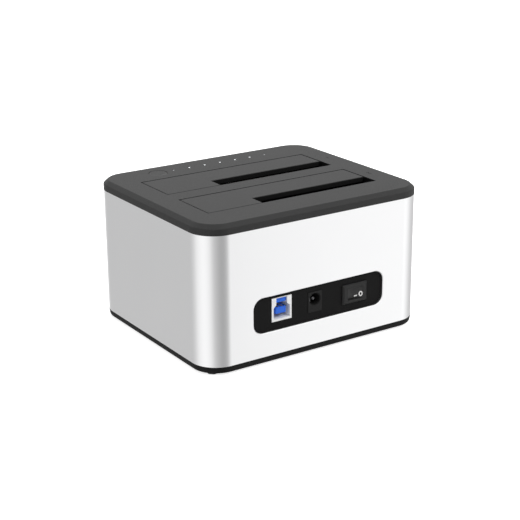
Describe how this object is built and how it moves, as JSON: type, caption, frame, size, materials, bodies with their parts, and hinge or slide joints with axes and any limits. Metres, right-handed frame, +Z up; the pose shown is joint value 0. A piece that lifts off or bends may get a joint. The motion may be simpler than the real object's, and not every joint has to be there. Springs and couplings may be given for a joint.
{
  "type": "drive duplicator",
  "caption": "Desktop dual-bay drive dock and duplicator with an aluminium sleeve, black cover and base, sprung bay doors, and USB, power and rocker switch at the back.",
  "frame": {"origin": "middle of the footprint, on the plane that the rubber feet stand on", "axes": "+X along the long side, -Y towards the indicators and the button, +Y towards the ports, +Z up out of the drive bays"},
  "size_m": [0.1356, 0.1144, 0.0779],
  "materials": {
    "anodised_aluminium": "satin anodised",
    "cover_plastic": "fine spark texture",
    "door_plastic": "fine spark texture",
    "base_plastic": "fine spark texture",
    "inner_plastic": "moulded",
    "panel_plastic": "satin",
    "jack_plastic": "satin",
    "switch_plastic": "satin",
    "button_plastic": "fine spark texture",
    "foot_rubber": "matt",
    "light_pipe": "clear, lit",
    "board_laminate": "solder mask",
    "chip_epoxy": "moulded",
    "capacitor_sleeve": "can",
    "connector_plastic": "moulded",
    "contact_gold": "gold plated",
    "plated_steel": "nickel plated",
    "usb_blue": "moulded",
    "spring_steel": "drawn wire",
    "zinc_steel": "zinc plated",
    "tact_body": "moulded"
  },
  "bodies": {
    "casing": {"aluminium_shell": "anodised_aluminium", "top_cover": "cover_plastic", "base_tray": "base_plastic", "rubber_feet": "foot_rubber", "front_hinge_pin": "zinc_steel", "rear_hinge_pin": "zinc_steel", "front_door_spring": "spring_steel", "rear_door_spring": "spring_steel", "front_bay_liner": "inner_plastic", "rear_bay_liner": "inner_plastic", "front_drive_connector": "connector_plastic", "rear_drive_connector": "connector_plastic", "front_drive_contacts": "contact_gold", "rear_drive_contacts": "contact_gold", "main_board": "board_laminate", "chips": "chip_epoxy", "capacitors": "capacitor_sleeve", "board_headers": "connector_plastic", "port_panel": "panel_plastic", "usb_shell": "plated_steel", "usb_insulator": "usb_blue", "usb_contacts": "contact_gold", "dc_jack_body": "jack_plastic", "dc_jack_pin": "plated_steel", "dc_jack_leaf": "plated_steel", "rocker_body": "switch_plastic", "rocker_terminals": "plated_steel", "indicator_board": "board_laminate", "light_emitters": "light_pipe", "light_pipes": "light_pipe", "tact_switch": "tact_body", "case_screws": "zinc_steel"},
    "front_door": {"front_bay_door": "door_plastic"},
    "rear_door": {"rear_bay_door": "door_plastic"},
    "button": {"clone_button": "button_plastic", "tact_plunger": "tact_body"},
    "rocker": {"rocker_paddle": "switch_plastic"}
  },
  "joints": [
    {"name": "front_door_hinge", "type": "hinge", "parent": "casing", "child": "front_door", "pos_m": [0.001, -0.0349, 0.0739], "axis": [-1, 0, 0], "range_deg": [0, 88], "stiffness_Nm_per_rad": 0.004, "springref_deg": -57.3, "deforming": ["front_door_spring"]},
    {"name": "rear_door_hinge", "type": "hinge", "parent": "casing", "child": "rear_door", "pos_m": [0.001, 0.0048, 0.0739], "axis": [-1, 0, 0], "range_deg": [0, 88], "stiffness_Nm_per_rad": 0.004, "springref_deg": -57.3, "deforming": ["rear_door_spring"]},
    {"name": "button_press", "type": "slide", "parent": "casing", "child": "button", "axis": [0, 0, -1], "range_m": [0, 0.0005], "stiffness_N_per_m": 1600, "springref_m": -0.0003},
    {"name": "power_rocker", "type": "hinge", "parent": "casing", "child": "rocker", "pos_m": [-0.0228, 0.0543, 0.0266], "axis": [0, 0, 1], "range_deg": [0, 20]}
  ]
}
